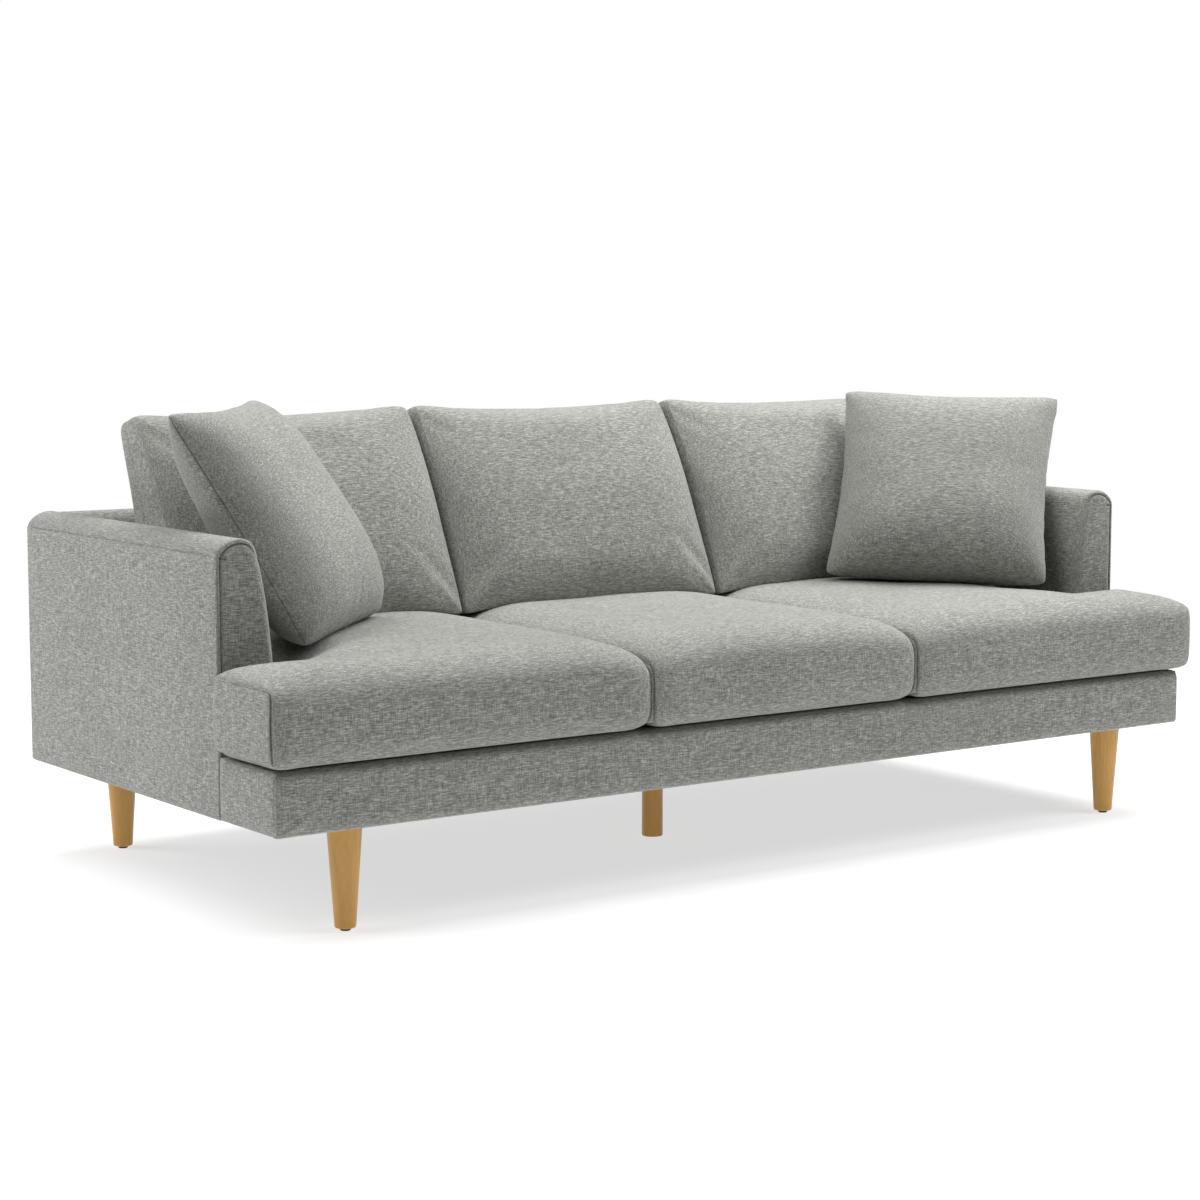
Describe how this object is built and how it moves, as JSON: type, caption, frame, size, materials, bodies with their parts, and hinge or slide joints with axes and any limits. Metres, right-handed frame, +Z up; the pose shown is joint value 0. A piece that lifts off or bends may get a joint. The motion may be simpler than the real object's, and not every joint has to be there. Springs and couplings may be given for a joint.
{
  "type": "sofa",
  "caption": "Upholstered sofa with loose seat and back cushions, scatter cushions, slim arms and tapered wooden legs.",
  "frame": {"origin": "on the floor, under the middle of the sofa's box", "axes": "+Z up, +Y towards the back of the sofa, +X along its length, to the right of someone who faces it"},
  "size_m": [2.232, 1.022, 0.8981],
  "materials": {
    "linen": "light grey heathered weave, matt",
    "beech": "honey stained hardwood, satin",
    "frame_timber": "sawn softwood, unfinished",
    "spring_steel": "drawn wire",
    "bolt_steel": "zinc plated",
    "lining": "non-woven black lining and felt",
    "glide_plastic": "moulded, matt"
  },
  "bodies": {
    "root": {"arm_back_post_left": "frame_timber", "arm_back_post_right": "frame_timber", "arm_cover_left": "linen", "arm_cover_right": "linen", "arm_front_panel_left": "linen", "arm_front_panel_right": "linen", "arm_front_post_left": "frame_timber", "arm_front_post_right": "frame_timber", "arm_top_rail_left": "frame_timber", "arm_top_rail_right": "frame_timber", "back_centre_post": "frame_timber", "back_cover": "linen", "back_rail": "frame_timber", "back_top_rail": "frame_timber", "base_front_cover": "linen", "base_side_cover_left": "linen", "base_side_cover_right": "linen", "corner_block_back_left": "frame_timber", "corner_block_back_right": "frame_timber", "corner_block_front_left": "frame_timber", "corner_block_front_right": "frame_timber", "cross_rail_centre": "frame_timber", "cross_rail_left": "frame_timber", "cross_rail_right": "frame_timber", "dust_cover": "lining", "front_rail": "frame_timber", "glide_back_left": "glide_plastic", "glide_back_right": "glide_plastic", "glide_front_left": "glide_plastic", "glide_front_right": "glide_plastic", "leg_back_left": "beech", "leg_back_right": "beech", "leg_bolt_back_left": "bolt_steel", "leg_bolt_back_right": "bolt_steel", "leg_bolt_centre": "bolt_steel", "leg_bolt_front_left": "bolt_steel", "leg_bolt_front_right": "bolt_steel", "leg_centre": "beech", "leg_front_left": "beech", "leg_front_right": "beech", "seat_deck": "lining", "seat_spring_1": "spring_steel", "seat_spring_2": "spring_steel", "seat_spring_3": "spring_steel", "seat_spring_4": "spring_steel", "seat_spring_5": "spring_steel", "seat_spring_6": "spring_steel", "side_rail_left": "frame_timber", "side_rail_right": "frame_timber"},
    "seat_left": {"seat_cushion_left": "linen"},
    "seat_centre": {"seat_cushion_centre": "linen"},
    "seat_right": {"seat_cushion_right": "linen"},
    "back_left": {"back_cushion_left": "linen"},
    "back_centre": {"back_cushion_centre": "linen"},
    "back_right": {"back_cushion_right": "linen"},
    "scatter_left": {"scatter_cushion_left": "linen"},
    "scatter_right": {"scatter_cushion_right": "linen"}
  },
  "joints": [
    {"name": "seat_left_lift", "type": "slide", "parent": "root", "child": "seat_left", "axis": [0, 0, 1], "range_m": [0, 0.4]},
    {"name": "back_left_lift", "type": "slide", "parent": "seat_left", "child": "back_left", "axis": [0, 0.2924, 0.9563], "range_m": [0, 0.3]},
    {"name": "seat_centre_lift", "type": "slide", "parent": "root", "child": "seat_centre", "axis": [0, 0, 1], "range_m": [0, 0.4]},
    {"name": "back_centre_lift", "type": "slide", "parent": "seat_centre", "child": "back_centre", "axis": [0, 0.2924, 0.9563], "range_m": [0, 0.3]},
    {"name": "seat_right_lift", "type": "slide", "parent": "root", "child": "seat_right", "axis": [0, 0, 1], "range_m": [0, 0.4]},
    {"name": "back_right_lift", "type": "slide", "parent": "seat_right", "child": "back_right", "axis": [0, 0.2924, 0.9563], "range_m": [0, 0.3]},
    {"name": "scatter_left_lift", "type": "slide", "parent": "back_left", "child": "scatter_left", "axis": [0.1649, -0.1813, 0.9695], "range_m": [0, 0.25]},
    {"name": "scatter_right_lift", "type": "slide", "parent": "back_right", "child": "scatter_right", "axis": [-0.1686, -0.1605, 0.9725], "range_m": [0, 0.25]}
  ]
}
